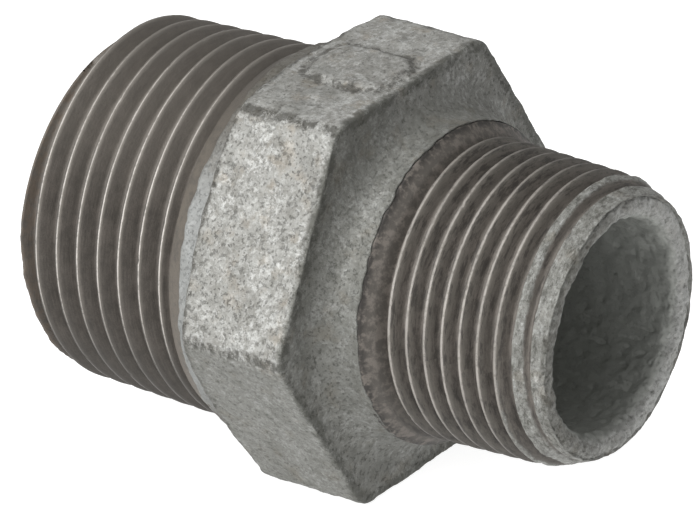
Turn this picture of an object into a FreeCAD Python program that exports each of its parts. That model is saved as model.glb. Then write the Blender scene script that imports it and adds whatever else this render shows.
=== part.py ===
"""Reducing hexagon nipple, 1 inch by 3/4 inch, in galvanised malleable iron.

The fitting is one casting with a taper thread cut on each end. It is built in the order of its making:
the blank is cast, the whole of it is dipped in zinc, and the dies then cut the two threads through the
zinc into the iron. What is left is three closed solids: the casting, the zinc on the hexagon between the
threads, and the zinc that lines the bore and turns over both end faces.

Each solid is drawn about a local Z axis that starts at the large end's face, and is then laid on its
side: +X runs along the bore towards the small end, and the hexagon rests on z = 0. Millimetres.
"""
import FreeCAD, Part

import math
import os

from FreeCAD import Placement, Rotation, Vector
import Sketcher

os.makedirs("parts", exist_ok=True)
doc = FreeCAD.newDocument("hexagon_nipple")

# ---------------------------------------------------------------- driving dimensions
SIZES = [
    ("overall", 53.0, "face to face, over the zinc"),
    ("coat", 0.1, "zinc thickness"),
    ("taper", 1 / 32, "a pipe thread grows 1 in 16 on diameter, so 1 in 32 on radius"),
    ("thread_depth", 0.640327, "Whitworth thread depth, as a part of the pitch"),
    ("thread_flat", 1 / 6, "width of crest and of root, as a part of the pitch"),
    ("flank_angle", 27.5, "lean of each flank of a Whitworth thread, in degrees"),
    ("ridge_sink", 0.15, "how deep a ridge's foot is sunk into the core"),
    ("across_flats", 36.0, "spanner size, over the zinc"),
    ("hex_left", 20.35, "start of the hexagon, at the collar"),
    ("hex_right", 32.05, "end of the hexagon"),
    ("hex_dome", 56.0, "radius of the shallow dome on the left side of the hexagon"),
    ("corner_round", 1.3, "radius on the six cast corners"),
    ("collar_radius", 17.6, "round collar between large thread and hexagon"),
    ("barrel_radius", 14.5, "round barrel between hexagon and small thread"),
    ("shoulder_round", 2.9, "hollow fillet between hexagon and barrel"),
    ("large_bore", 12.2, "bore radius at the large end"),
    ("small_bore", 9.6, "bore radius at the small end"),
    ("step_start", 17.0, "where the bore begins to narrow"),
    ("step_end", 24.0, "where it reaches the small radius"),
    ("mouth", 0.6, "chamfer on both mouths of the bore"),
    ("large_pitch", 25.4 / 11, "11 threads to the inch"),
    ("large_major", 33.249, "major diameter at the gauge plane"),
    ("large_gauge", 10.391, "gauge plane, from the large end"),
    ("large_crest", 0.44, "middle of the first crest, on the line that faces down"),
    ("large_turns", 9.0, "turns of ridge, ends included"),
    ("large_rim", 15.4, "radius left on the end face by the entry chamfer"),
    ("large_entry", 0.93, "radius gained along the entry chamfer, for each unit of length"),
    ("large_cone_end", 18.35, "where the run-out cone meets the collar"),
    ("large_cone_lean", 0.95, "length of the run-out cone, for each unit of radius"),
    ("small_pitch", 25.4 / 14, "14 threads to the inch"),
    ("small_major", 26.441, "major diameter at the gauge plane"),
    ("small_gauge", 9.525, "gauge plane, from the small end"),
    ("small_crest", 36.81, "middle of the first full crest, on the line that faces down"),
    ("small_turns", 11.0, "turns of ridge, ends included"),
    ("small_rim", 11.6, "radius left on the end face by the entry chamfer"),
    ("small_entry", 0.42, "radius gained along the entry chamfer, for each unit of length"),
    ("small_cone_end", 35.7, "where the run-out cone meets the barrel"),
    ("small_cone_lean", 0.84, "length of the run-out cone, for each unit of radius"),
    ("pad_length", 10.0, "plain raised pad on the top flat, along the axis"),
    ("pad_width", 8.0, "plain raised pad, across the flat"),
    ("pad_height", 0.3, "how far the pad stands up"),
]
sheet = doc.addObject("Spreadsheet::Sheet", "sizes")
for row, (alias, value, note) in enumerate(SIZES, start=1):
    sheet.set(f"A{row}", alias)
    sheet.set(f"B{row}", repr(value))
    sheet.set(f"C{row}", note)
    sheet.setAlias(f"B{row}", alias)
doc.recompute()

# ---------------------------------------------------------------- expressions that several sketches share
CREST_LARGE = "(sizes.large_major / 2 + ({0} - sizes.large_gauge) * sizes.taper)"
CREST_SMALL = "(sizes.small_major / 2 + (sizes.overall - ({0}) - sizes.small_gauge) * sizes.taper)"
ROOT_LARGE = f"({CREST_LARGE} - sizes.thread_depth * sizes.large_pitch)"
ROOT_SMALL = f"({CREST_SMALL} - sizes.thread_depth * sizes.small_pitch)"
IRON_START = "sizes.coat"
IRON_END = "(sizes.overall - sizes.coat)"
REACH = 4


# ---------------------------------------------------------------- sketching
def add_sketch(body, name, role):
    """An empty sketch on one of the body's own origin planes."""
    sketch = body.newObject("Sketcher::SketchObject", name)
    plane = next(f for f in body.Origin.OriginFeatures if f.Role == role)
    sketch.AttachmentSupport = [(plane, "")]
    sketch.MapMode = "FlatFace"
    return sketch


def bind(sketch, kind, place, value, expression):
    """Put a dimension on a sketch and drive it from the spreadsheet."""
    index = sketch.addConstraint(Sketcher.Constraint(kind, *place, value))
    sketch.setExpression(f"Constraints[{index}]", expression)


def draw_outline(sketch, corners, arcs=None):
    """Draw a closed outline through corners, which are pairs of expressions.

    arcs maps the number of a corner to the centre of the arc that leads from it to the next corner."""
    arcs = arcs or {}
    number = sketch.evalExpression
    points = [Vector(float(number(x)), float(number(y)), 0) for x, y in corners]
    for i, point in enumerate(points):
        following = points[(i + 1) % len(points)]
        if i in arcs:
            centre = Vector(float(number(arcs[i][0])), float(number(arcs[i][1])), 0)
            circle = Part.Circle(centre, Vector(0, 0, 1), (point - centre).Length)
            ends = circle.parameter(following), circle.parameter(point)
            sketch.addGeometry(Part.ArcOfCircle(circle, *ends))
        else:
            sketch.addGeometry(Part.LineSegment(point, following))
    for i, (x, y) in enumerate(corners):
        before = (i - 1) % len(corners)
        begins = 2 if i in arcs else 1
        ended = 1 if before in arcs else 2
        sketch.addConstraint(Sketcher.Constraint("Coincident", before, ended, i, begins))
        if before not in arcs:
            bind(sketch, "DistanceX", (-1, 1, i, begins), points[i].x, x)
        bind(sketch, "DistanceY", (-1, 1, i, begins), points[i].y, y)
    for i, (x, y) in arcs.items():
        bind(sketch, "DistanceX", (-1, 1, i, 3), float(number(x)), x)
        bind(sketch, "DistanceY", (-1, 1, i, 3), float(number(y)), y)


def turn(body, name, corners, arcs=None, cut=False):
    """Turn an outline of (radius, distance) corners about the axis, as metal added or cut away."""
    sketch = add_sketch(body, f"{name}_sketch", "XZ_Plane")
    draw_outline(sketch, corners, arcs)
    kind = "PartDesign::Groove" if cut else "PartDesign::Revolution"
    feature = body.newObject(kind, name)
    feature.Profile = sketch
    feature.ReferenceAxis = (sketch, ["V_Axis"])
    feature.Angle = 360
    sketch.Visibility = False
    return feature


def pad(body, name, corners, start, length):
    """Pad an outline of (x, y) corners along the axis, from a distance start over a length."""
    sketch = add_sketch(body, f"{name}_sketch", "XY_Plane")
    sketch.setExpression(".AttachmentOffset.Base.z", start)
    draw_outline(sketch, corners)
    feature = body.newObject("PartDesign::Pad", name)
    feature.Profile = sketch
    feature.setExpression("Length", length)
    sketch.Visibility = False
    return feature


# ---------------------------------------------------------------- the cast shape, with and without zinc
def hexagon_corners(inset):
    """Six corners, with a pair of flats square to the X axis."""
    radius = f"((sizes.across_flats / 2 - {inset}) / cos(30))"
    return [(f"{radius} * cos({angle})", f"{radius} * sin({angle})") for angle in range(30, 390, 60)]


def add_hexagon(body, inset):
    """The spanner hexagon, with its left side domed back from the collar, and the plain pad on top."""
    left = f"(sizes.hex_left + {inset})"
    right = f"(sizes.hex_right - {inset})"
    prism = pad(body, "hexagon", hexagon_corners(inset), left, f"{right} - {left}")
    doc.recompute()
    edges = [f"Edge{i}" for i, edge in enumerate(prism.Shape.Edges, start=1) if is_hexagon_corner(edge)]
    corners = body.newObject("PartDesign::Fillet", "hexagon_corners")
    corners.Base = (prism, edges)
    corners.setExpression("Radius", "sizes.corner_round")
    outer = "(sizes.across_flats * 0.7)"
    collar = f"(sizes.collar_radius - {inset})"
    centre = f"({left} + sqrt(sizes.hex_dome ^ 2 - {collar} ^ 2))"
    turn(body, "hexagon_dome", [
        (outer, f"{centre} - sqrt(sizes.hex_dome ^ 2 - {outer} ^ 2)"),
        (collar, left),
        (outer, f"{left} - 0.5"),
    ], {0: ("0", centre)}, cut=True)
    face = "(-sizes.across_flats / 2)"
    side = f"(sizes.pad_width / 2 - {inset})"
    middle = "((sizes.hex_left + sizes.hex_right) / 2 + 0.3)"
    pad(body, "top_pad", [
        (f"{face} - sizes.pad_height + {inset}", f"-{side}"),
        (f"{face} + 1", f"-{side}"),
        (f"{face} + 1", side),
        (f"{face} - sizes.pad_height + {inset}", side),
    ], f"{middle} - sizes.pad_length / 2 + {inset}", f"sizes.pad_length - 2 * {inset}")


def is_hexagon_corner(edge):
    """Whether an edge is one of the six long corners, which lie outside the flats."""
    ends = [vertex.Point for vertex in edge.Vertexes]
    if len(ends) != 2 or abs(ends[0].z - ends[1].z) < 1:
        return False
    apart = math.hypot(ends[0].x - ends[1].x, ends[0].y - ends[1].y)
    return apart < 0.001 and math.hypot(ends[0].x, ends[0].y) > sheet.across_flats / 2 + 1


def middle_outline(inset, start, end):
    """Collar, hexagon back and barrel, as (radius, distance) corners between two distances."""
    shoulder = "(sizes.barrel_radius + sizes.shoulder_round)"
    corners = [
        (f"sizes.collar_radius - {inset}", start),
        (f"sizes.collar_radius - {inset}", f"sizes.hex_right - {inset}"),
        (shoulder, f"sizes.hex_right - {inset}"),
        (f"sizes.barrel_radius - {inset}", "sizes.hex_right + sizes.shoulder_round"),
        (f"sizes.barrel_radius - {inset}", end),
    ]
    return corners, (shoulder, "sizes.hex_right + sizes.shoulder_round")


def make_middle(name, inset, start, end):
    """The cast shape between the threads, sunk by an inset and ended at two distances."""
    body = doc.addObject("PartDesign::Body", name)
    corners, centre = middle_outline(inset, start, end)
    turn(body, "middle", [("0", start)] + corners + [("0", end)], {3: centre})
    add_hexagon(body, inset)
    return body


# ---------------------------------------------------------------- threads
def add_ridge(body, name, crest_radius, root_radius, start, growth):
    """One helical ridge: its section at the start, swept round the cone of the thread.

    growth is 1 where the cone widens along the axis and -1 where it narrows."""
    top = f"(sizes.{name}_pitch * sizes.thread_flat / 2)"
    base = f"(sizes.{name}_pitch * (1 - sizes.thread_flat) / 2 + sizes.ridge_sink * tan(sizes.flank_angle))"
    buried = f"{root_radius} - sizes.ridge_sink"
    sketch = add_sketch(body, f"{name}_ridge_sketch", "XZ_Plane")
    draw_outline(sketch, [
        (buried, f"{start} - {base}"),
        (crest_radius, f"{start} - {top}"),
        (crest_radius, f"{start} + {top}"),
        (buried, f"{start} + {base}"),
    ])
    ridge = body.newObject("PartDesign::AdditiveHelix", f"{name}_ridge")
    ridge.Profile = sketch
    ridge.ReferenceAxis = (sketch, ["V_Axis"])
    ridge.Mode = "pitch-turns-angle"
    ridge.setExpression("Pitch", f"sizes.{name}_pitch")
    ridge.setExpression("Turns", f"sizes.{name}_turns")
    ridge.setExpression("Angle", f"{growth} * atan(sizes.taper)")
    sketch.Visibility = False
    return ridge


def add_ridges(body):
    """Both ridges, each begun one turn before its first crest."""
    large = "(sizes.large_crest - sizes.large_pitch)"
    small = "(sizes.small_crest - sizes.small_pitch)"
    add_ridge(body, "large", CREST_LARGE.format(large), ROOT_LARGE.format(large), large, 1)
    add_ridge(body, "small", CREST_SMALL.format(small), ROOT_SMALL.format(small), small, -1)


def cut_chamfers(body, reach):
    """Face both ends and lean their rims back, so that a socket starts on the threads."""
    for name, face, outward in (("large", IRON_START, "-"), ("small", IRON_END, "+")):
        inward = "+" if outward == "-" else "-"
        outer = f"sizes.{name}_rim + {reach} * sizes.{name}_entry"
        turn(body, f"{name}_chamfer", [
            ("0", face),
            (f"sizes.{name}_rim", face),
            (outer, f"{face} {inward} {reach}"),
            (outer, f"{face} {outward} {reach + 1}"),
            ("0", f"{face} {outward} {reach + 1}"),
        ], cut=True)


# ---------------------------------------------------------------- bore
def bore_wall(inset):
    """The wall of the bore as (radius, distance) corners, from the large mouth to the small mouth."""
    large = f"(sizes.large_bore + {inset})"
    small = f"(sizes.small_bore + {inset})"
    return [
        (f"{large} + sizes.mouth", inset),
        (large, f"{inset} + sizes.mouth"),
        (large, "sizes.step_start"),
        (small, "sizes.step_end"),
        (small, f"sizes.overall - {inset} - sizes.mouth"),
        (f"{small} + sizes.mouth", f"sizes.overall - {inset}"),
    ]


def add_cores(body, reach):
    """Both threads' root cones in one turned bar, left too long by reach at each end."""
    ends = f"-{reach}", f"sizes.overall + {reach}"
    turn(body, "thread_cores", [
        ("0", ends[0]),
        (ROOT_LARGE.format(ends[0]), ends[0]),
        (ROOT_LARGE.format("(sizes.hex_left + 1)"), "sizes.hex_left + 1"),
        (ROOT_SMALL.format("(sizes.hex_right + 1)"), "sizes.hex_right + 1"),
        (ROOT_SMALL.format(ends[1]), ends[1]),
        ("0", ends[1]),
    ])


def add_blank(body, sink):
    """Collar, hexagon back and barrel, with the cones on which the dies ran out, sunk into the cores."""
    corners, centre = middle_outline("sizes.coat", "sizes.large_cone_end", "sizes.small_cone_end")
    large = f"{corners[0][0]} - {sink}", f"sizes.large_cone_end - {sink} * sizes.large_cone_lean"
    small = f"{corners[-1][0]} - {sink}", f"sizes.small_cone_end + {sink} * sizes.small_cone_lean"
    turn(body, "blank", [("0", large[1]), large, *corners, small, ("0", small[1])], {4: centre})


def make_casting():
    """The iron: thread cores and ridges first, then the cast shape between them, then the bore."""
    body = doc.addObject("PartDesign::Body", "casting")
    add_cores(body, REACH)
    add_ridges(body)
    add_blank(body, 3)
    add_hexagon(body, "sizes.coat")
    cut_chamfers(body, REACH)
    mouth = "sizes.large_bore + sizes.coat + sizes.mouth", "sizes.small_bore + sizes.coat + sizes.mouth"
    turn(body, "bore", [("0", "0"), (mouth[0], "0")] + bore_wall("sizes.coat")
         + [(mouth[1], "sizes.overall"), ("0", "sizes.overall")], cut=True)
    return body


def make_outer_coat():
    """The zinc that the dies left between the threads: the dipped shape less the iron inside it."""
    dipped = make_middle("dipped_middle", "0", "sizes.large_cone_end", "sizes.small_cone_end")
    iron = make_middle("iron_middle", "sizes.coat", "sizes.large_cone_end - 1", "sizes.small_cone_end + 1")
    coat = doc.addObject("Part::Cut", "outer_zinc_coat")
    coat.Base = dipped
    coat.Tool = iron
    return coat


def make_bore_coat():
    """The zinc in the bore, turned over both end faces as far as the threads."""
    body = doc.addObject("PartDesign::Body", "bore_zinc_coat")
    large_edge = ROOT_LARGE.format(IRON_START)
    turn(body, "lining", [(large_edge, "0")] + bore_wall("0") + [("sizes.small_rim", "sizes.overall")]
         + [("sizes.small_rim", IRON_END)] + bore_wall("sizes.coat")[::-1] + [(large_edge, IRON_START)])
    return body


# ---------------------------------------------------------------- build, check and write
parts = [make_casting(), make_outer_coat(), make_bore_coat()]
for part in parts:
    part.Label = part.Name
    part.Placement = Placement(Vector(0, 0, 0), Rotation(Vector(0, 1, 0), 90))
    part.setExpression(".Placement.Base.x", "-sizes.overall / 2")
    part.setExpression(".Placement.Base.z", "sizes.across_flats / 2")
doc.recompute()

for thing in doc.Objects:
    if "Invalid" in thing.State or "Error" in thing.State:
        raise RuntimeError(f"{thing.Name} did not build: {thing.State}")
for part in parts:
    if part.Shape.isNull() or not part.Shape.isValid() or len(part.Shape.Solids) != 1:
        raise RuntimeError(f"{part.Label} is not one valid solid")
    part.Shape.exportStep(f"parts/{part.Label}.step")
    print(part.Label, round(part.Shape.Volume, 1), part.Shape.BoundBox)
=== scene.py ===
# %% [markdown]
# # A reducing hexagon nipple
# This plumbing fitting joins a 1 inch socket to a 3/4 inch socket. It is one malleable iron casting. It was
# dipped in hot zinc and then threaded, so it shows three surfaces: bare iron on the two cut threads,
# rough zinc on the hexagon between them, and zinc again in the bore and on the end faces. Each of the
# three gets one piece here.

import math

import bpy
from mathutils import Matrix, Vector, noise


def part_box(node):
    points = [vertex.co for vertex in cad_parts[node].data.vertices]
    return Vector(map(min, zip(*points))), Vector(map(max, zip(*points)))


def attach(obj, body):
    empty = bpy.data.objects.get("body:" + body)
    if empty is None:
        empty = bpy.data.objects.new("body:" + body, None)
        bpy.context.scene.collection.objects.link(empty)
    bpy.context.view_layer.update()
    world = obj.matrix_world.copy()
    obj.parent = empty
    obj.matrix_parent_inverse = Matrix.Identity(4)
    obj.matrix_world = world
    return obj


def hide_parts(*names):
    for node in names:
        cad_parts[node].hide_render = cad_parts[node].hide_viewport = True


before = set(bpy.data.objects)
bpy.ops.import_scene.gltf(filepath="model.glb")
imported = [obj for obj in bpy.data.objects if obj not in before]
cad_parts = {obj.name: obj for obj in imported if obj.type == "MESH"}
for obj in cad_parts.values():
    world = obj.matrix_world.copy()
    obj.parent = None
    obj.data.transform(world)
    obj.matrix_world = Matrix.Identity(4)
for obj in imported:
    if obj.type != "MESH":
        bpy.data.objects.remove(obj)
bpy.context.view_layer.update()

# %% [markdown]
# ## Driving sizes
# Everything runs along X, with the large thread at the low end. The ends and the height of the axis come
# from the loaded frame. The threads follow the pipe standard: a pitch, a radius at the gauge plane and a
# taper of 1 in 16 on the diameter. The other sizes belong to this casting. All lengths are in metres.
#
# Two cones limit each thread. The die's throat leaves one behind the last full turn: it falls from the
# blank at the run-out, gently as far as the knee and steeply after it. The other is the casting's own
# lead-in, which widens from the rim at the slope called entry and sits off centre by the lift.

# %% Sizes
MM = 0.001
casting_low, casting_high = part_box("casting")
lining_low, lining_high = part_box("bore_zinc_coat")
LARGE_END = lining_low[0]
SMALL_END = lining_high[0]
AXIS_Z = (lining_low[2] + lining_high[2]) / 2

# The thread form, in pitches: its depth as cut, its height to sharp points, and how round its crests are.
THREAD_DEPTH = 0.640327
FULL_HEIGHT = 0.960491
CREST_ROUND = 0.06
TAPER = 1 / 32
THROAT_SLOPE = 1.9

COLLAR_RADIUS = 17.6 * MM
BARREL_RADIUS = 14.5 * MM
SHOULDER_ROUND = 2.9 * MM
ACROSS_FLATS = 36.6 * MM
CORNER_ROUND = 2.5 * MM
HEX_LEFT = LARGE_END + 20.35 * MM
HEX_RIGHT = LARGE_END + 32.05 * MM
HEX_SLOPE = 0.36
ZINC = 0.1 * MM
ZINC_START = LARGE_END + 18.75 * MM
ZINC_STOP = LARGE_END + 35.7 * MM

LARGE = {
    "end": LARGE_END, "inward": 1, "pitch": 25.4 / 11 * MM, "crest": LARGE_END + 1.016 * MM,
    "gauge_radius": 16.6245 * MM, "gauge": 10.391 * MM, "rim": 15.8 * MM, "entry": 0.75,
    "runout": 18.75 * MM, "blank": COLLAR_RADIUS - ZINC, "lean": 2.2, "knee": 17.0 * MM, "lift": 0.5 * MM,
}
SMALL = {
    "end": SMALL_END, "inward": -1, "pitch": 25.4 / 14 * MM, "crest": SMALL_END - 15.741 * MM,
    "gauge_radius": 13.2205 * MM, "gauge": 9.525 * MM, "rim": 11.55 * MM, "entry": 0.42,
    "runout": 17.3 * MM, "blank": BARREL_RADIUS - ZINC, "lean": 1.1, "knee": 16.3 * MM, "lift": 0.15 * MM,
}
print("the casting is", round(casting_high[0] - casting_low[0], 4), "long")
print("axis runs from", round(LARGE_END, 4), "to", round(SMALL_END, 4), "at height", round(AXIS_Z, 4))

# %% [markdown]
# ## Arithmetic in node trees
# The shape of a thread and the mask that brightens its crests are the same sum, so it is written once
# and built in both kinds of tree. A Number stands for one output socket, and arithmetic on it adds Math
# nodes, which are the same node in Geometry Nodes and in shaders.


# %% Numbers in a node tree
class Number:
    """One number that a node tree works out; arithmetic on it adds Math nodes."""

    def __init__(self, tree, source):
        self.tree = tree
        self.source = source

    def __add__(self, other):
        return math_node(self.tree, "ADD", self, other)

    def __sub__(self, other):
        return math_node(self.tree, "SUBTRACT", self, other)

    def __rsub__(self, other):
        return math_node(self.tree, "SUBTRACT", other, self)

    def __mul__(self, other):
        return math_node(self.tree, "MULTIPLY", self, other)

    def __truediv__(self, other):
        return math_node(self.tree, "DIVIDE", self, other)

    __radd__ = __add__
    __rmul__ = __mul__


def connect(tree, value, socket):
    """Link a Number or a socket to an input, or set the input to a constant."""
    if isinstance(value, Number):
        tree.links.new(value.source, socket)
    elif isinstance(value, bpy.types.NodeSocket):
        tree.links.new(value, socket)
    else:
        socket.default_value = value


def math_node(tree, operation, *values):
    """One Math node."""
    node = tree.nodes.new("ShaderNodeMath")
    node.operation = operation
    for socket, value in zip(node.inputs, values):
        connect(tree, value, socket)
    return Number(tree, node.outputs[0])


def least(a, b):
    return math_node(b.tree, "MINIMUM", a, b)


def most(a, b):
    return math_node(a.tree, "MAXIMUM", a, b)


def ramp(value, low, high, start=0.0, end=1.0):
    """A smooth step from start at low to end at high."""
    node = value.tree.nodes.new("ShaderNodeMapRange")
    node.interpolation_type = "SMOOTHSTEP"
    limits = {"Value": value, "From Min": low, "From Max": high, "To Min": start, "To Max": end}
    for name, given in limits.items():
        connect(value.tree, given, node.inputs[name])
    return Number(value.tree, node.outputs["Result"])


def split(tree, vector):
    """The three parts of a vector."""
    node = tree.nodes.new("ShaderNodeSeparateXYZ")
    tree.links.new(vector, node.inputs[0])
    return [Number(tree, output) for output in node.outputs]


def joined(tree, x, y, z):
    """A vector from three numbers."""
    node = tree.nodes.new("ShaderNodeCombineXYZ")
    for value, socket in zip((x, y, z), node.inputs):
        connect(tree, value, socket)
    return node.outputs[0]


def grain(tree, vector, feature, seed=0.0, detail=2.0, rough=0.5):
    """Noise from 0 to 1 whose lumps are about as big as feature."""
    node = tree.nodes.new("ShaderNodeTexNoise")
    node.noise_dimensions = "4D"
    values = {"Vector": vector, "W": seed, "Scale": 1 / feature, "Detail": detail, "Roughness": rough}
    for name, value in values.items():
        connect(tree, value, node.inputs[name])
    return Number(tree, node.outputs[0])


def around_axis(tree, position):
    """Distance along the axis, radius, and turn as a part of one revolution."""
    x, y, z = split(tree, position)
    height = z - AXIS_Z
    radius = math_node(tree, "SQRT", y * y + height * height)
    turn = math_node(tree, "ARCTAN2", height, y) / math.tau
    return x, radius, turn


# %% [markdown]
# ## The thread as a rule
# A taper pipe thread is a ridge that winds round a cone. Where a point lies between two crests depends
# only on its distance along the axis, less one pitch for each turn. A triangle wave of that sum is the
# sharp thread; cutting off its top and bottom sixths and rounding both gives the standard form. The
# die's throat leaves a cone behind the last thread, and the casting's own lead-in trims the first ones.


# %% Thread form
def thread_levels(x, turn, values):
    """The radii at a point of: thread form, thread crest, run-out cone and as-cast lead-in.

    inward is the depth from the thread's end. apart and along say where the point lies between two
    crests: apart from 0 on a crest to 0.5 midway, and along from 0 to 1. values holds the thread's
    sizes, as plain numbers or as Numbers."""
    tree = x.tree
    inward = (x - values["end"]) * values["inward"]
    crest = values["gauge_radius"] + (inward - values["gauge"]) * TAPER
    depth = values["pitch"] * THREAD_DEPTH
    steps = (x - values["crest"]) / values["pitch"] - turn
    apart = math_node(tree, "PINGPONG", steps, 0.5)
    sharp = (0.5 - apart) * 2 * (values["pitch"] * FULL_HEIGHT) - values["pitch"] * (FULL_HEIGHT / 6)
    rounding = values["pitch"] * CREST_ROUND
    topped = math_node(tree, "SMOOTH_MIN", sharp, depth, rounding)
    height = math_node(tree, "SMOOTH_MAX", topped, 0.0, rounding)
    form = crest - depth + height
    shallow = values["blank"] - (values["runout"] - inward) / values["lean"]
    knee = values["blank"] - (values["runout"] - values["knee"]) / values["lean"]
    cone = least(shallow, knee - (values["knee"] - inward) * THROAT_SLOPE)
    off_centre = math_node(tree, "SINE", turn * math.tau) * values["lift"]
    cast = values["rim"] + inward * values["entry"] + off_centre
    along = math_node(tree, "FRACT", steps)
    return {"form": form, "crest": crest, "cone": cone, "cast": cast, "apart": apart, "inward": inward,
            "along": along}


# %% [markdown]
# ## Geometry Nodes helpers
# Each tree is made here, with named inputs, so that the same tree can cut both threads. A tree ends by
# realising its geometry and setting the material. The result is kept as a plain mesh.


# %% Tree helpers
def new_tree(name, inputs):
    """An empty geometry tree with its named inputs; returns the tree, its input node and socket names."""
    tree = bpy.data.node_groups.new(name, "GeometryNodeTree")
    tree.is_modifier = True
    tree.interface.new_socket(name="Geometry", in_out="INPUT", socket_type="NodeSocketGeometry")
    for label, kind in inputs:
        tree.interface.new_socket(name=label, in_out="INPUT", socket_type=kind)
    tree.interface.new_socket(name="Geometry", in_out="OUTPUT", socket_type="NodeSocketGeometry")
    return tree, tree.nodes.new("NodeGroupInput")


def end_tree(tree, geometry, material):
    """Realise the geometry, give it its material and send it out."""
    realise = tree.nodes.new("GeometryNodeRealizeInstances")
    finish = tree.nodes.new("GeometryNodeSetMaterial")
    out = tree.nodes.new("NodeGroupOutput")
    tree.links.new(geometry, realise.inputs[0])
    tree.links.new(realise.outputs[0], finish.inputs["Geometry"])
    tree.links.new(material, finish.inputs["Material"])
    tree.links.new(finish.outputs[0], out.inputs[0])


def add_modifier(obj, tree, values):
    """Put a tree on an object, with its inputs set by their socket identifiers."""
    modifier = obj.modifiers.new(tree.name, "NODES")
    modifier.node_group = tree
    for item in tree.interface.items_tree:
        if item.in_out == "INPUT" and item.name in values:
            modifier[item.identifier] = values[item.name]


def make_plain(obj):
    """Replace an object's mesh by what its modifiers make of it, and remove them."""
    graph = bpy.context.evaluated_depsgraph_get()
    mesh = bpy.data.meshes.new_from_object(obj.evaluated_get(graph))
    obj.modifiers.clear()
    obj.data = mesh
    for face in mesh.polygons:
        face.use_smooth = True
    triangles = sum(len(face.vertices) - 2 for face in mesh.polygons)
    print(obj.name, "has", triangles, "triangles")


# %% Closed turned mesh
def ring_mesh(name, rows, turns):
    """A closed tube-like skin. rows holds, for each row, one (x, radius) pair for each turn.

    The rows run round the wall's section, so the last row joins the first one again."""
    count = len(turns)
    points = []
    for row in rows:
        for (x, radius), turn in zip(row, turns):
            points.append((x, radius * math.cos(turn), AXIS_Z + radius * math.sin(turn)))
    faces = []
    for i in range(len(rows)):
        below, above = i * count, (i + 1) % len(rows) * count
        for j in range(count):
            k = (j + 1) % count
            faces.append((below + j, below + k, above + k, above + j))
    mesh = bpy.data.meshes.new(name)
    mesh.from_pydata(points, [], faces)
    mesh.update()
    obj = bpy.data.objects.new(name, mesh)
    bpy.context.scene.collection.objects.link(obj)
    return obj


def spaced(start, end, step):
    """Values from start up to end, about step apart."""
    count = max(1, round(abs(end - start) / step))
    return [start + (end - start) * i / count for i in range(count + 1)]


# %% [markdown]
# ## Colours
# Hot-dip zinc is a patchwork of light and dark grey with small dark pits, and cut malleable iron is a warm
# dark grey that shines where it has been rubbed. Every colour below is mixed from noise and from place in
# the object's own coordinates, so the finish stays on the piece from every side. Part of it is painted light
# and shade, placed by angle round the axis or by height. There is a painted highlight on the thread crests
# towards the front, and painted light on the top of the threads and on the back of the lining. There is
# painted shade on the low side of the threads, on one flank of each turn, on the zinc below the axis and
# towards the small end, and on the front of the lining.


# %% Material helpers
def tone(red, green, blue):
    """A colour from display values between 0 and 255."""
    return tuple(((value / 255 + 0.055) / 1.055) ** 2.4 for value in (red, green, blue)) + (1.0,)


def mixed(tree, factor, first, second):
    """The first colour at factor 0 and the second at 1."""
    node = tree.nodes.new("ShaderNodeMix")
    node.data_type = "RGBA"
    connect(tree, factor, node.inputs[0])
    connect(tree, first, node.inputs[6])
    connect(tree, second, node.inputs[7])
    return node.outputs[2]


def new_material(name):
    """A material with its shader and the object coordinates."""
    material = bpy.data.materials.new(name)
    material.use_nodes = True
    tree = material.node_tree
    shader = next(node for node in tree.nodes if node.type == "BSDF_PRINCIPLED")
    coordinates = tree.nodes.new("ShaderNodeTexCoord").outputs["Object"]
    return material, tree, shader, coordinates


def bump(tree, shader, height, distance, strength):
    """Fine relief on a shader, below what the mesh carries."""
    node = tree.nodes.new("ShaderNodeBump")
    node.inputs["Strength"].default_value = strength
    node.inputs["Distance"].default_value = distance
    tree.links.new(height.source, node.inputs["Height"])
    tree.links.new(node.outputs[0], shader.inputs["Normal"])


# %% Zinc colour
ZINC_LIGHT = tone(204, 205, 203)
ZINC_MID = tone(154, 154, 150)
ZINC_DARK = tone(126, 125, 120)
ZINC_PIT = tone(58, 56, 50)
ZINC_STAIN = tone(132, 116, 92)
ZINC_CALM = tone(134, 136, 135)
ZINC_BROWN_GREY = tone(80, 76, 68)
ZINC_TARNISH_AND_SHADE = tone(82, 83, 77)
ZINC_BORE = tone(150, 152, 147)
ZINC_SHINE = 0.35
CALM_RADIUS = 10.3 * MM


def zinc_colour(tree, place, dirt):
    """Mottled zinc: grain in three greys, dark pits, warm stains, and dirt where the mask says."""
    patch = ramp(grain(tree, place, 1.3 * MM, seed=1, detail=6, rough=0.75), 0.36, 0.64)
    slow = ramp(grain(tree, place, 4 * MM, seed=8, detail=3, rough=0.6), 0.38, 0.62)
    light = ramp(grain(tree, place, 0.45 * MM, seed=3, detail=5, rough=0.8) + slow * 0.04, 0.50, 0.64)
    pit = ramp(grain(tree, place, 0.36 * MM, seed=4, detail=4, rough=0.75), 0.54, 0.62)
    scar = ramp(grain(tree, place, 1.1 * MM, seed=9, detail=6, rough=0.85), 0.55, 0.66)
    stain = ramp(grain(tree, place, 2.6 * MM, seed=5, detail=4, rough=0.65), 0.52, 0.68)
    cloud = ramp(grain(tree, place, 2.0 * MM, seed=10, detail=5, rough=0.7), 0.46, 0.66)
    colour = mixed(tree, patch, ZINC_DARK, ZINC_MID)
    colour = mixed(tree, light * (0.2 + slow * 0.3), colour, ZINC_LIGHT)
    colour = mixed(tree, stain * 0.3, colour, ZINC_STAIN)
    colour = mixed(tree, cloud * 0.3, colour, ZINC_TARNISH_AND_SHADE)
    colour = mixed(tree, most(pit * (0.5 - slow * 0.3), scar * 0.6), colour, ZINC_PIT)
    return mixed(tree, dirt, colour, ZINC_PIT), pit, light


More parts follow.
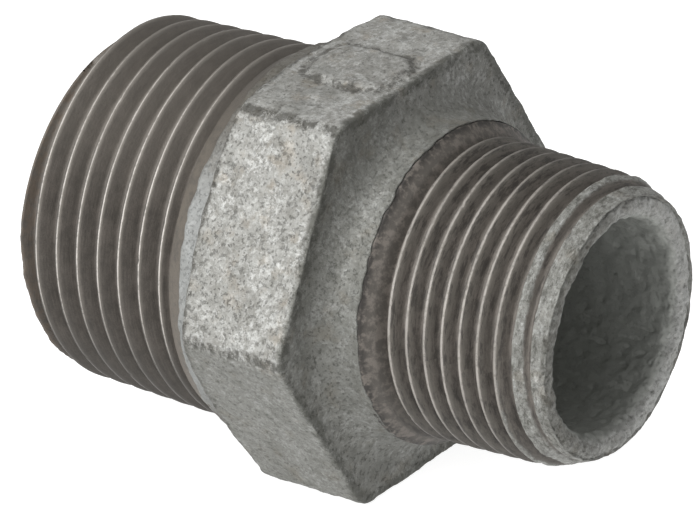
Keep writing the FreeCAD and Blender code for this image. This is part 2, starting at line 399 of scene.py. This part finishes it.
def bore_tones(tree, place, colour):
    """The lining's own tones: drawn marks, painted shade on the front of the mouth and painted light on its
    back, dark grain, and a calm bore.
    """
    x, radius, turn = around_axis(tree, place)
    drawn = joined(tree, x, turn * 40 * MM, radius)
    drawn = ramp(grain(tree, drawn, 0.6 * MM, seed=22, detail=6, rough=0.8), 0.47, 0.60)
    colour = mixed(tree, drawn * 0.6, colour, ZINC_PIT)
    # Painted shade on the front of the lining and painted light on its back, by angle round the axis.
    front = ramp(math_node(tree, "COSINE", (turn - 0.47) * math.tau), -0.7, 0.7)
    colour = mixed(tree, front * 0.15, colour, ZINC_BROWN_GREY)
    colour = mixed(tree, (1 - front) * 0.36, colour, ZINC_LIGHT)
    coarse = grain(tree, place, 0.34 * MM, seed=24, detail=6, rough=0.85)
    colour = mixed(tree, ramp(coarse, 0.52, 0.62) * 0.6, colour, ZINC_PIT)
    deep = ramp(radius, CALM_RADIUS, CALM_RADIUS - 0.6 * MM)
    dots = ramp(grain(tree, place, 0.5 * MM, seed=19, detail=3, rough=0.7), 0.60, 0.68)
    return mixed(tree, deep * (0.9 - dots * 0.45), colour, ZINC_BORE)


def make_zinc(name, painted_shade, in_bore=False):
    """Zinc with dirt gathered along the cast edges, which the mesh marks with its own attributes.

    The second argument puts painted shade on the side of the hexagon towards the small end and on everything
    below the axis."""
    material, tree, shader, place = new_material(name)
    edge = tree.nodes.new("ShaderNodeAttribute")
    edge.attribute_name = "edge"
    collar = tree.nodes.new("ShaderNodeAttribute")
    collar.attribute_name = "collar"
    broken = ramp(grain(tree, place, 1.3 * MM, seed=6, detail=6, rough=0.8), 0.38, 0.60)
    dirt = ramp(Number(tree, edge.outputs["Fac"]) * (0.15 + broken * 1.3), 0.15, 0.95) * 0.75
    colour, pit, light = zinc_colour(tree, place, dirt)
    x, y, z = split(tree, place)
    height = z - AXIS_Z
    # Painted shade: darker below the axis and from the hexagon's face towards the small end onwards.
    shaded = most(ramp(height, 0.6 * MM, -1.2 * MM), ramp(x, HEX_RIGHT - 0.9 * MM, HEX_RIGHT - 0.1 * MM))
    colour = mixed(tree, shaded * painted_shade, colour, ZINC_TARNISH_AND_SHADE)
    # The smooth collar takes its own grey, lighter in front and darker above and below.
    collar_front = Number(tree, collar.outputs["Fac"])
    calm = mixed(tree, ramp(collar_front, 0.25, 0.7), ZINC_BROWN_GREY, ZINC_CALM)
    colour = mixed(tree, ramp(collar_front, 0.0, 0.15) * 0.75 * (1 - dirt), colour, calm)
    if in_bore:
        colour = bore_tones(tree, place, colour)
    tree.links.new(colour, shader.inputs["Base Color"])
    shader.inputs["Metallic"].default_value = ZINC_SHINE
    connect(tree, 0.62 - light * 0.14 + pit * 0.2, shader.inputs["Roughness"])
    fine = grain(tree, place, 0.2 * MM, seed=7, detail=4, rough=0.7)
    bump(tree, shader, fine - pit * 0.6, 0.07 * MM, 0.9)
    return material


# %% Iron colour
IRON_SOOT_AND_SHADE = tone(48, 45, 42)
IRON_DARK = tone(76, 72, 67)
IRON_MID = tone(102, 96, 90)
IRON_BROWN = tone(94, 88, 80)
IRON_RUST = tone(100, 88, 76)
IRON_BRIGHT = tone(180, 175, 169)
IRON_WORN = tone(108, 104, 97)
IRON_PALE = tone(126, 121, 114)
IRON_SHINE = 0.2

# How each thread looks. line is half the width of the rubbed crest and worn widens the paler band round it,
# in pitches. The third value is painted shade on the flanks that face the large end, and streaks are the
# marks drawn along the thread. fade is how soon the bright crests end on the way round from the front, and
# gleam is how bright they are: the crests are rubbed, and their brightness towards the front is a painted
# highlight. pale is painted light: how much lighter the thread is on top.
LARGE_LOOK = {"line": 0.04, "worn": 0.02, "flank_shade": 0.6, "streaks": 0.12,
              "fade": 0.5, "gleam": 1.0, "pale": 0.5}
SMALL_LOOK = {"line": 0.09, "worn": 0.14, "flank_shade": 0.1, "streaks": 0.7,
              "fade": 0.0, "gleam": 0.55, "pale": 0.15}


def thread_colour(tree, place, thread, look):
    """Iron on one thread as the die left it, with painted light and shade by angle round the axis. A painted
    highlight on the crests dims away from the front. Painted shade lies on the crests away from the front,
    on the flanks that face the large end (less of it low down), and on the low side. Painted light lies on
    the top.

    Returns the colour, the brightness of the crest, how far the form is washed out by the throat's
    cone, and the thread's levels."""
    x, radius, turn = around_axis(tree, place)
    levels = thread_levels(x, turn, thread)
    streak = joined(tree, x, turn * 4 * MM, radius * 0.5)
    scratch = grain(tree, streak, 0.09 * MM, seed=11, detail=3, rough=0.6)
    patch = grain(tree, place, 1.4 * MM, seed=12, detail=4, rough=0.6)
    speck = grain(tree, place, 0.14 * MM, seed=18, detail=3, rough=0.7)
    colour = mixed(tree, ramp(patch * 0.6 + scratch * 0.5 + speck * 0.4, 0.55, 0.95), IRON_DARK, IRON_MID)
    shade = ramp(levels["apart"], 0.12 + look["worn"], 0.02 + look["worn"])
    colour = mixed(tree, shade * 0.55, colour, IRON_WORN)
    wander = grain(tree, place, 0.8 * MM, seed=13, detail=3, rough=0.6)
    edge = look["line"] * (0.35 + wander * 1.3)
    bright = ramp(levels["apart"], edge, edge * 0.35)
    gap = ramp(grain(tree, place, 0.5 * MM, seed=14, detail=3, rough=0.6), 0.36, 0.5)
    full = ramp(levels["cone"] - levels["crest"], 0.1 * MM, -0.15 * MM)
    slow = ramp(grain(tree, place, 6 * MM, seed=17, detail=2), 0.35, 0.65)
    # Painted highlight on the crests towards the front; away from the front the crests get painted shade.
    front = ramp(math_node(tree, "COSINE", (turn - 0.42) * math.tau), look["fade"], 0.95)
    bright = bright * (0.2 + gap * 0.4 + slow * 0.4) * (0.06 + front * 0.94) * full * look["gleam"]
    crest_shade = (1 - front) * ramp(levels["apart"], 0.2, 0.05)
    colour = mixed(tree, crest_shade * 0.75, colour, IRON_SOOT_AND_SHADE)
    # Painted shade on the flanks that face the large end, with less of it low down, and painted shade on the
    # low side; painted light on the top.
    side = math_node(tree, "SINE", turn * math.tau)
    low = ramp(side, -0.15, -0.7)
    flank = ramp(levels["along"], 0.5, 0.85) * look["flank_shade"]
    colour = mixed(tree, flank * (1 - low * 0.7), colour, IRON_SOOT_AND_SHADE)
    colour = mixed(tree, low * 0.45, colour, IRON_DARK)
    colour = mixed(tree, ramp(side, 0.35, 0.95) * look["pale"], colour, IRON_PALE)
    drawn = joined(tree, x, turn * 14 * MM, radius * 0.7)
    drawn = grain(tree, drawn, 0.34 * MM, seed=20, detail=5, rough=0.75)
    colour = mixed(tree, ramp(drawn, 0.48, 0.62) * look["streaks"], colour, IRON_SOOT_AND_SHADE)
    colour = mixed(tree, ramp(drawn, 0.46, 0.36) * look["streaks"] * 0.6, colour, IRON_WORN)
    # The rubbed crests, with their painted highlight.
    colour = mixed(tree, bright, colour, IRON_BRIGHT)
    washed = ramp(levels["cone"] - levels["form"], 0.0, 0.25 * MM)
    return colour, bright, washed, levels


def lead_in_zinc(tree, place, mottle):
    """The zinc that the die left on the cast lead-in, with dark grain pulled along the thread."""
    x, radius, turn = around_axis(tree, place)
    zinc = zinc_colour(tree, place, ramp(mottle, 0.55, 0.7) * 0.6)[0]
    pulled = joined(tree, x, turn * 30 * MM, radius)
    pulled = grain(tree, pulled, 0.4 * MM, seed=23, detail=6, rough=0.85)
    zinc = mixed(tree, 0.38, zinc, ZINC_TARNISH_AND_SHADE)
    zinc = mixed(tree, ramp(pulled, 0.48, 0.60) * 0.75, zinc, ZINC_PIT)
    return mixed(tree, ramp(pulled, 0.44, 0.36) * 0.35, zinc, ZINC_LIGHT)


def large_thread_colour(tree, place, mottle):
    """The large thread, with a brown band behind its last turn that is lighter towards the front as painted
    light, and a little rust on its rim.
    """
    colour, bright, washed, levels = thread_colour(tree, place, LARGE, LARGE_LOOK)
    turn = around_axis(tree, place)[2]
    # The band's brown is partly its own colour and partly painted light: lighter towards the front, dark
    # elsewhere.
    front = ramp(math_node(tree, "COSINE", (turn - 0.49) * math.tau), 0.1, 0.8)
    band = mixed(tree, front * ramp(mottle, 0.75, 0.40), IRON_DARK, IRON_BROWN)
    colour = mixed(tree, washed, colour, band)
    rim = ramp(levels["inward"], 1.6 * MM, 0.3 * MM) * ramp(mottle, 0.4, 0.6)
    return mixed(tree, rim * 0.6, colour, IRON_RUST), bright


def small_thread_colour(tree, place, mottle):
    """The small thread, with soot where it ends at the hexagon and zinc left on its first turns."""
    colour, bright, washed, levels = thread_colour(tree, place, SMALL, SMALL_LOOK)
    band = mixed(tree, ramp(mottle, 0.42, 0.62), IRON_DARK, IRON_MID)
    colour = mixed(tree, washed, colour, band)
    edge = ramp(levels["inward"], SMALL["runout"] - 0.6 * MM, SMALL["runout"] - 0.1 * MM)
    colour = mixed(tree, edge * ramp(mottle, 0.65, 0.40), colour, IRON_SOOT_AND_SHADE)
    skin = ramp(levels["form"] - levels["cast"] - mottle * 0.5 * MM, -0.45 * MM, -0.2 * MM)
    colour = mixed(tree, skin, colour, lead_in_zinc(tree, place, mottle))
    return colour, bright * (1 - skin)


def make_iron():
    """Both threads in one material: which thread a point belongs to depends on its place."""
    material, tree, shader, place = new_material("cut_iron")
    mottle = grain(tree, place, 0.7 * MM, seed=15, detail=4, rough=0.65)
    large, large_bright = large_thread_colour(tree, place, mottle)
    small, small_bright = small_thread_colour(tree, place, mottle)
    x = split(tree, place)[0]
    side = math_node(tree, "GREATER_THAN", x, (LARGE_END + SMALL_END) / 2)
    tree.links.new(mixed(tree, side, large, small), shader.inputs["Base Color"])
    shiny = large_bright * (1 - side) + small_bright * side
    shader.inputs["Metallic"].default_value = IRON_SHINE
    connect(tree, 0.66 - shiny * 0.25, shader.inputs["Roughness"])
    bump(tree, shader, grain(tree, place, 0.22 * MM, seed=16, detail=4, rough=0.7), 0.05 * MM, 0.8)
    return material


iron = make_iron()
outer_zinc = make_zinc("outer_zinc", painted_shade=0.56)
bore_zinc = make_zinc("bore_zinc", painted_shade=0.52, in_bore=True)
print("materials:", iron.name, outer_zinc.name, bore_zinc.name)

# %% [markdown]
# ## The iron casting
# On the real fitting both threads are cut with dies on the cast barrel. The piece starts as a turned
# blank, with rows close enough together on the two barrels for the thread's flanks. One tree then sets
# the radius of the outside from the thread rule, and it is used twice, with the sizes of each thread.
# A little noise tears the flanks and nicks the crests, as it does on real malleable iron.

# %% Thread cutting tree
THREAD_INPUTS = ("end", "inward", "pitch", "crest", "gauge_radius", "gauge", "rim", "entry", "runout",
                 "blank", "lean", "knee", "lift")


def thread_tree():
    """Cut one taper thread into the outside of a turned blank."""
    inputs = [(name, "NodeSocketFloat") for name in THREAD_INPUTS]
    inputs += [("seed", "NodeSocketFloat"), ("Material", "NodeSocketMaterial")]
    tree, given = new_tree("cut_taper_thread", inputs)
    position = tree.nodes.new("GeometryNodeInputPosition").outputs[0]
    x, radius, turn = around_axis(tree, position)
    values = {name: Number(tree, given.outputs[name]) for name in THREAD_INPUTS}
    levels = thread_levels(x, turn, values)
    seed = Number(tree, given.outputs["seed"])
    nick = ramp(grain(tree, position, 0.9 * MM, seed, detail=3), 0.6, 0.85, 0.0, 0.25 * MM)
    torn = (grain(tree, position, 0.35 * MM, seed + 1, detail=3, rough=0.6) - 0.5) * (0.07 * MM)
    cut = least(levels["form"], levels["crest"] - nick) + torn
    rough = (grain(tree, position, 2.2 * MM, seed + 2, detail=5, rough=0.6) - 0.5) * (0.9 * MM)
    pitted = (grain(tree, position, 0.4 * MM, seed + 3, detail=2) - 0.5) * (0.12 * MM)
    new_radius = least(most(cut, levels["cone"] + torn * 2), levels["cast"] + rough + pitted)
    outside = tree.nodes.new("GeometryNodeInputNamedAttribute")
    outside.data_type = "FLOAT"
    outside.inputs["Name"].default_value = "outside"
    reach = math_node(tree, "LESS_THAN", levels["inward"], values["runout"])
    chosen = Number(tree, outside.outputs[0]) * reach
    scale = 1 + chosen * (new_radius / radius - 1)
    y, z = split(tree, position)[1:]
    moved = joined(tree, x, y * scale, AXIS_Z + (z - AXIS_Z) * scale)
    place = tree.nodes.new("GeometryNodeSetPosition")
    tree.links.new(given.outputs["Geometry"], place.inputs["Geometry"])
    tree.links.new(moved, place.inputs["Position"])
    end_tree(tree, place.outputs[0], given.outputs["Material"])
    return tree


# %% Turned blank and its two threads
SQUINT_REACH = 5 * MM
SQUINT_MEAN = 0.27 * MM
SQUINT_SWING = 0.7 * MM
SQUINT_TURN = 0.7


def squint(x, turn):
    """The small end was not cut off quite square: its face leans in at the lower back."""
    share = max(0.0, (x - SMALL_END + SQUINT_REACH) / SQUINT_REACH)
    return x - share * (SQUINT_MEAN + SQUINT_SWING * math.cos(turn + SQUINT_TURN))


IRON_TURNS = [math.tau * i / 272 for i in range(272)]
LARGE_BORE = 12.2 * MM + ZINC
SMALL_BORE = 9.6 * MM + ZINC
STEP_START = LARGE_END + 17 * MM
STEP_END = LARGE_END + 24 * MM
LARGE_ROWS = 0.115 * MM
SMALL_ROWS = 0.105 * MM
SUNK = 0.7 * MM
ARC_STEPS = 22


def even_rows(places, turns):
    """Rows that are circles but for the squint of the small end, from (x, radius) pairs."""
    return [[(squint(x, turn), radius) for turn in turns] for x, radius in places]


def make_threaded_iron():
    """The blank's rows run along the outside from the large end, and back through the bore.

    Between the threads the iron is sunk under the zinc, and it ends just inside the lining's mouths."""
    large_stop = LARGE_END + LARGE["runout"]
    small_stop = SMALL_END - SMALL["runout"]
    outside = [(x, LARGE["blank"]) for x in spaced(LARGE_END + ZINC, large_stop, LARGE_ROWS)]
    outside += [(HEX_LEFT + 2 * MM, LARGE["blank"] - SUNK), (HEX_RIGHT - SUNK, LARGE["blank"] - SUNK)]
    outside += shoulder_arc(SUNK)[1:]
    outside += [(small_stop - 0.45 * MM, SMALL["blank"])]
    outside += [(x, SMALL["blank"]) for x in spaced(small_stop, SMALL_END - ZINC, SMALL_ROWS)]
    inside = [(SMALL_END - 0.9 * MM, SMALL["rim"] - 0.4 * MM), (SMALL_END - 3 * MM, SMALL_BORE + MM),
              (STEP_END, SMALL_BORE + 0.5 * MM), (STEP_START, LARGE_BORE + 0.5 * MM),
              (LARGE_END + 2.5 * MM, LARGE_BORE + 0.8 * MM), (LARGE_END + 0.7 * MM, LARGE["rim"] - 1.6 * MM)]
    obj = ring_mesh("threaded_iron", even_rows(outside + inside, IRON_TURNS), IRON_TURNS)
    mark = obj.data.attributes.new("outside", "FLOAT", "POINT")
    for i, item in enumerate(mark.data):
        item.value = 1.0 if i < len(outside) * len(IRON_TURNS) else 0.0
    cutter = thread_tree()
    for thread, seed in ((LARGE, 3.0), (SMALL, 8.0)):
        values = {name: float(thread[name]) for name in THREAD_INPUTS}
        add_modifier(obj, cutter, {**values, "seed": seed, "Material": iron})
    make_plain(obj)
    return obj


def shoulder_arc(inset):
    """The hollow fillet between hexagon and barrel, sunk by inset, as (x, radius) pairs."""
    centre_x = HEX_RIGHT + SHOULDER_ROUND
    centre_radius = BARREL_RADIUS + SHOULDER_ROUND
    size = SHOULDER_ROUND + inset
    angles = [math.pi / 2 * i / ARC_STEPS for i in range(ARC_STEPS + 1)]
    return [(centre_x - size * math.cos(a), centre_radius - size * math.sin(a)) for a in angles]


threaded_iron = make_threaded_iron()

# %% [markdown]
# ## The zinc on the hexagon
# The hexagon is cast, so its corners are blunt, its flats are slightly uneven and its left side leans
# back. A section of the skin is worked out at each turn, because the flat is nearer to the axis than
# the corner. A second tree, the cast skin, then pushes the surface in and out along its normals with
# noise at three sizes: slow waves, sand grain and pits.


# %% Hexagon outline
def hexagon_turns(count):
    """Angles that step evenly round a hexagon's outline, with a flat facing straight up."""
    per_side = count // 6
    turns = []
    for side in range(6):
        for i in range(per_side):
            along = (i / per_side * 2 - 1) * math.tan(math.pi / 6)
            turns.append(math.pi / 2 + side * math.pi / 3 + math.atan(along))
    return turns


def hexagon_radius(turn, across, corner):
    """Distance from the axis to a hexagon with rounded corners, at one angle."""
    sector = (turn - math.pi / 2 + math.pi / 6) % (math.pi / 3) - math.pi / 6
    middle = across / 2 - corner
    straight = middle * math.tan(math.pi / 6)
    if abs(math.tan(sector)) * across / 2 <= straight:
        return across / 2 / math.cos(sector)
    centre = middle / math.cos(math.pi / 6)
    apart = math.pi / 6 - abs(sector)
    return centre * math.cos(apart) + math.sqrt(corner ** 2 - (centre * math.sin(apart)) ** 2)


def corner_gap(turn, across):
    """Distance along the flat from a point to the nearest corner of the hexagon."""
    sector = (turn - math.pi / 2 + math.pi / 6) % (math.pi / 3) - math.pi / 6
    return across / 2 * (math.tan(math.pi / 6) - abs(math.tan(sector)))


# %% Hexagon skin
COLLAR_STEPS = 12
SIDE_STEPS = 14
FLAT_STEPS = 62
BARREL_STEPS = 4
SKIN_INSET = 0.16 * MM
TOP_FLAT = 0.9


def smooth_section(section, passes):
    """Round the corners of a section by averaging its inner points with their neighbours."""
    for step in range(passes):
        eased = list(section)
        for i in range(1, len(section) - 1):
            before, here, after = section[i - 1], section[i], section[i + 1]
            eased[i] = tuple((a + 2 * b + c) / 4 for a, b, c in zip(before, here, after))
        section = eased
    return section


def wavering(turn, reach, seed):
    """A slow, closed waver round the axis, between minus reach and reach."""
    point = Vector((3 * math.cos(turn), 3 * math.sin(turn), seed))
    fine = Vector((14 * math.cos(turn), 14 * math.sin(turn), seed))
    return reach * (noise.noise(point) + 0.5 * noise.noise(fine))


PAD_MIDDLE = (HEX_LEFT + HEX_RIGHT) / 2 + 0.3 * MM
PAD_STRAIGHT_ALONG = 1.9 * MM
PAD_STRAIGHT_ACROSS = 1.2 * MM
PAD_ROUND = 1.6 * MM
PAD_SLOPE = 1.1 * MM
PAD_HEIGHT = 0.4 * MM


def pad_gap(x, turn, radius):
    """How far outside the pad's flat top a point of the top flat lies."""
    along = max(0.0, abs(x - PAD_MIDDLE) - PAD_STRAIGHT_ALONG)
    across = max(0.0, abs(radius * math.cos(turn)) - PAD_STRAIGHT_ACROSS)
    return max(0.0, math.hypot(along, across) - PAD_ROUND)


def pad_rise(x, turn, radius):
    """A plain, worn, oblong pad on the top flat, where such a fitting carries its cast mark."""
    if math.sin(turn) < TOP_FLAT:
        return 0.0
    share = max(0.0, 1 - pad_gap(x, turn, radius) / PAD_SLOPE)
    return PAD_HEIGHT * share * share * (3 - 2 * share)


def hexagon_section(turn):
    """The zinc's section at one angle, from the large thread over the flat to the small thread."""
    radius = hexagon_radius(turn, ACROSS_FLATS, CORNER_ROUND)
    lean_end = HEX_LEFT + HEX_SLOPE * (radius - COLLAR_RADIUS)
    left = ZINC_START + wavering(turn, 0.15 * MM, 1.0)
    right = ZINC_STOP + wavering(turn, 0.35 * MM, 2.0)
    arc = shoulder_arc(0)
    arc_end = arc[-1][0]
    section = [(left + (HEX_LEFT - left) * i / COLLAR_STEPS, COLLAR_RADIUS) for i in range(COLLAR_STEPS)]
    for i in range(SIDE_STEPS):
        share = i / SIDE_STEPS
        section.append((HEX_LEFT + (lean_end - HEX_LEFT) * share,
                        COLLAR_RADIUS + (radius - COLLAR_RADIUS) * share))
    flat = [lean_end + (HEX_RIGHT - lean_end) * i / FLAT_STEPS for i in range(FLAT_STEPS)]
    section += [(x, radius + pad_rise(x, turn, radius)) for x in flat]
    section += [(HEX_RIGHT, radius + (arc[0][1] - radius) * i / SIDE_STEPS) for i in range(SIDE_STEPS)]
    section += arc
    barrel = [arc_end + (right - arc_end) * i / BARREL_STEPS for i in range(1, BARREL_STEPS + 1)]
    section += [(x, BARREL_RADIUS) for x in barrel]
    section = smooth_section(section, 3)
    back = [(right, BARREL_RADIUS - SKIN_INSET), (arc_end, BARREL_RADIUS - SKIN_INSET),
            (HEX_RIGHT - MM, COLLAR_RADIUS - 2 * MM), (HEX_LEFT, COLLAR_RADIUS - SKIN_INSET - 0.1 * MM),
            (left, COLLAR_RADIUS - SKIN_INSET)]
    return section + back


def edge_marks(turns, sections):
    """For each point, how near it is to a sharp cast edge: 1 on it, 0 far away."""
    reach = 0.75 * MM
    marks = []
    for i in range(len(sections[0])):
        for turn, section in zip(turns, sections):
            x, radius = section[i]
            top = hexagon_radius(turn, ACROSS_FLATS, CORNER_ROUND)
            gaps = [math.hypot(x - HEX_RIGHT, radius - top + 0.35 * MM)]
            if HEX_LEFT - 0.5 * MM < x < HEX_RIGHT and radius > top - 0.8 * MM:
                gaps.append(corner_gap(turn, ACROSS_FLATS))
                gaps.append(abs(x - HEX_LEFT - HEX_SLOPE * (top - COLLAR_RADIUS)) * 1.6)
                if math.sin(turn) > TOP_FLAT:
                    gaps.append(abs(pad_gap(x, turn, radius) - 0.9 * MM) * 0.9 + 0.2 * MM)
            marks.append(math.exp(-((min(gaps) / reach) ** 2)))
    return marks


# %% Cast skin tree
SKIN_INPUTS = ("wave height", "wave size", "grain height", "grain size", "pit depth", "pit size", "seed")


def skin_tree():
    """Push a surface along its normals as sand casting and dipping leave it."""
    inputs = [(name, "NodeSocketFloat") for name in SKIN_INPUTS] + [("Material", "NodeSocketMaterial")]
    tree, given = new_tree("cast_skin", inputs)
    position = tree.nodes.new("GeometryNodeInputPosition").outputs[0]
    normal = tree.nodes.new("GeometryNodeInputNormal").outputs[0]
    values = {name: Number(tree, given.outputs[name]) for name in SKIN_INPUTS}
    one = Number(tree, given.outputs["seed"]) * 0 + 1

    def lumps(kind, shift, detail):
        texture = grain(tree, position, 1.0, values["seed"] + shift, detail=detail, rough=0.6)
        connect(tree, one / values[f"{kind} size"], texture.source.node.inputs["Scale"])
        return texture

    wave = (lumps("wave", 0, 2) - 0.5) * 2 * values["wave height"]
    sand = (lumps("grain", 1, 3) - 0.5) * 2 * values["grain height"]
    pit = ramp(lumps("pit", 2, 2), 0.60, 0.75) * values["pit depth"]
    shift = wave + sand - pit
    scaled = tree.nodes.new("ShaderNodeVectorMath")
    scaled.operation = "SCALE"
    tree.links.new(normal, scaled.inputs[0])
    tree.links.new(shift.source, scaled.inputs["Scale"])
    place = tree.nodes.new("GeometryNodeSetPosition")
    tree.links.new(given.outputs["Geometry"], place.inputs["Geometry"])
    tree.links.new(scaled.outputs[0], place.inputs["Offset"])
    end_tree(tree, place.outputs[0], given.outputs["Material"])
    return tree


cast_skin = skin_tree()


FRONT_TURN = math.pi - 0.1
FRONT_SPREAD = 1.1
HEX_OFFSET = (-0.08 * MM, 0, 0.1 * MM)


def collar_marks(turns, sections):
    """For each point, a share that is highest on the front of the smooth collar, lower above and below, and
    0 off the collar.
    """
    away = [abs(math.remainder(turn - FRONT_TURN, math.tau)) / FRONT_SPREAD for turn in turns]
    collar_front = [1 - 0.8 * min(1.0, share) for share in away]
    rows = COLLAR_STEPS + SIDE_STEPS
    return [share if i < rows else 0.0 for i in range(len(sections[0])) for share in collar_front]


def make_hexagon_zinc():
    """The skin between the threads, a little off the axis, with its cast edges marked for the dirt."""
    turns = hexagon_turns(600)
    sections = [hexagon_section(turn) for turn in turns]
    rows = [list(row) for row in zip(*sections)]
    obj = ring_mesh("hexagon_zinc", rows, turns)
    marks = obj.data.attributes.new("edge", "FLOAT", "POINT")
    marks.data.foreach_set("value", edge_marks(turns, sections))
    marks = obj.data.attributes.new("collar", "FLOAT", "POINT")
    marks.data.foreach_set("value", collar_marks(turns, sections))
    add_modifier(obj, cast_skin, {
        "wave height": 0.26 * MM, "wave size": 2.6 * MM, "grain height": 0.10 * MM, "grain size": 0.7 * MM,
        "pit depth": 0.07 * MM, "pit size": 0.45 * MM, "seed": 21.0, "Material": outer_zinc,
    })
    make_plain(obj)
    obj.data.transform(Matrix.Translation(HEX_OFFSET))
    return obj


hexagon_zinc = make_hexagon_zinc()

# %% [markdown]
# ## The zinc in the bore
# The lining is one closed skin too: it covers the wall of the bore and turns over both end faces. The
# small mouth is a soft, lumpy lip, because the sand core left it round and the zinc filled it further.
# The same cast skin tree roughens it, with deeper lumps.

# %% Bore lining
LINING_TURNS = [math.tau * i / 360 for i in range(360)]
LIP_OVER = 14
LIP_INTO = 18
CONE_STEPS = 18
LINING_INSET = 0.14 * MM


def lip(end, inward, outer, inner, depth):
    """A rounded mouth from the thread's rim over the end face into the bore, as (x, radius) pairs."""
    middle = inner + (outer - inner) * 0.6
    over = []
    for i in range(LIP_OVER + 1):
        angle = math.pi / 2 * i / LIP_OVER
        x = end + inward * depth * 0.3 * (1 - math.sin(angle))
        over.append((x, middle + (outer - middle) * math.cos(angle)))
    for i in range(1, LIP_INTO + 1):
        angle = math.pi / 2 * i / LIP_INTO
        x = end + inward * depth * (1 - math.cos(angle))
        over.append((x, middle - (middle - inner) * math.sin(angle)))
    return over


def make_bore_zinc():
    """From the large rim through the bore to the small rim, and back just under the surface."""
    large_bore = LARGE_BORE - ZINC
    small_bore = SMALL_BORE - ZINC
    large = lip(LARGE_END, 1, LARGE["rim"] - 1.1 * MM, large_bore, 1.2 * MM)
    small = lip(SMALL_END, -1, SMALL["rim"] + 0.1 * MM, small_bore, 1.5 * MM)
    front = large + [(x, large_bore) for x in spaced(LARGE_END + 1.5 * MM, STEP_START, 0.5 * MM)]
    for i in range(1, CONE_STEPS):
        share = i / CONE_STEPS
        front.append((STEP_START + (STEP_END - STEP_START) * share,
                      large_bore + (small_bore - large_bore) * share))
    front += [(x, small_bore) for x in spaced(STEP_END, SMALL_END - 1.7 * MM, 0.25 * MM)]
    front += small[::-1]
    back = [(SMALL_END - 0.9 * MM, SMALL["rim"] - 0.2 * MM), (SMALL_END - 1.2 * MM, small_bore + 0.9 * MM),
            (SMALL_END - 2.6 * MM, small_bore + LINING_INSET), (STEP_END, small_bore + LINING_INSET),
            (STEP_START, large_bore + LINING_INSET), (LARGE_END + 2 * MM, large_bore + LINING_INSET),
            (LARGE_END + 0.8 * MM, LARGE["rim"] - 1.3 * MM)]
    obj = ring_mesh("bore_zinc", even_rows(front + back, LINING_TURNS), LINING_TURNS)
    obj.data.flip_normals()
    obj.data.attributes.new("edge", "FLOAT", "POINT")
    add_modifier(obj, cast_skin, {
        "wave height": 0.36 * MM, "wave size": 2.2 * MM, "grain height": 0.28 * MM, "grain size": 0.8 * MM,
        "pit depth": 0.30 * MM, "pit size": 0.8 * MM, "seed": 41.0, "Material": bore_zinc,
    })
    make_plain(obj)
    return obj


bore_lining = make_bore_zinc()

# %% [markdown]
# ## Riding on the frame
# The fitting has no moving part, so all three pieces ride on the one body, and each takes the place of
# the plain solid that it dresses.

# %% Ride and replace
for piece, node, slot in ((threaded_iron, "casting", "cut_iron"),
                          (hexagon_zinc, "outer_zinc_coat", "hot_dip_zinc"),
                          (bore_lining, "bore_zinc_coat", "hot_dip_zinc")):
    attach(piece, "root")
    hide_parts(node)

# %% [markdown]
# ## Floor, light and camera
# The fitting lies on a pale floor. One large soft light from the front makes the flat that faces it the
# brightest side, a weaker one from above lifts the top, and the right side stays in soft shade.


# %% Stage
FLOOR_HALF = 4.0
FLOOR_DROP = 0.3 * MM


def make_floor():
    """A wide, pale, plain floor just under the hexagon's lowest flat."""
    mesh = bpy.data.meshes.new("floor")
    corners = [(x * FLOOR_HALF, y * FLOOR_HALF, 0) for x, y in ((-1, -1), (1, -1), (1, 1), (-1, 1))]
    mesh.from_pydata(corners, [], [(0, 1, 2, 3)])
    obj = bpy.data.objects.new("floor", mesh)
    bpy.context.scene.collection.objects.link(obj)
    obj.location.z = -FLOOR_DROP
    material, tree, shader, place = new_material("floor_white")
    shader.inputs["Base Color"].default_value = (0.35, 0.35, 0.35, 1)
    shader.inputs["Roughness"].default_value = 0.9
    shader.inputs["Emission Color"].default_value = (1, 1, 1, 1)
    shader.inputs["Emission Strength"].default_value = 0.9
    mesh.materials.append(material)


def add_light(name, direction, distance, width, power):
    """A square soft light that shines on the fitting from a direction."""
    data = bpy.data.lights.new(name, "AREA")
    data.shape = "SQUARE"
    data.size = width
    data.energy = power
    obj = bpy.data.objects.new(name, data)
    bpy.context.scene.collection.objects.link(obj)
    target = Vector((0, 0, AXIS_Z))
    obj.location = target + Vector(direction).normalized() * distance
    obj.rotation_euler = (target - obj.location).to_track_quat("-Z", "Y").to_euler()


LENS = 517.2
SENSOR = 36
CAMERA_PLACE = Vector((482.87 * MM, -614.83 * MM, 411.65 * MM))
CAMERA_AIM = Vector((-2.195 * MM, -0.404 * MM, 17.37 * MM))
CAMERA_ROLL = math.radians(-3.873)


def make_camera():
    """A long lens, a little rolled, aimed at the middle of the fitting."""
    data = bpy.data.cameras.new("camera")
    data.lens = LENS
    data.sensor_width = SENSOR
    data.clip_start = 0.01
    obj = bpy.data.objects.new("camera", data)
    bpy.context.scene.collection.objects.link(obj)
    obj.location = CAMERA_PLACE
    turned = (CAMERA_AIM - CAMERA_PLACE).to_track_quat("-Z", "Y").to_matrix().to_4x4()
    obj.rotation_euler = (turned @ Matrix.Rotation(CAMERA_ROLL, 4, "Z")).to_euler()
    bpy.context.scene.camera = obj


# %% Set the stage
make_floor()
add_light("key", (-0.15, -0.85, 0.6), 1.0, 0.6, 10.5)
add_light("top", (-0.1, -0.1, 1.0), 1.2, 0.8, 7.0)
make_camera()
world = bpy.data.worlds.new("studio")
world.use_nodes = True
background = world.node_tree.nodes["Background"]
background.inputs["Color"].default_value = (1, 1, 1, 1)
background.inputs["Strength"].default_value = 0.38
bpy.context.scene.world = world
bpy.context.scene.view_settings.view_transform = "Standard"
print("stage: one floor, two lights, a soft white world and a camera with a", LENS, "mm lens")
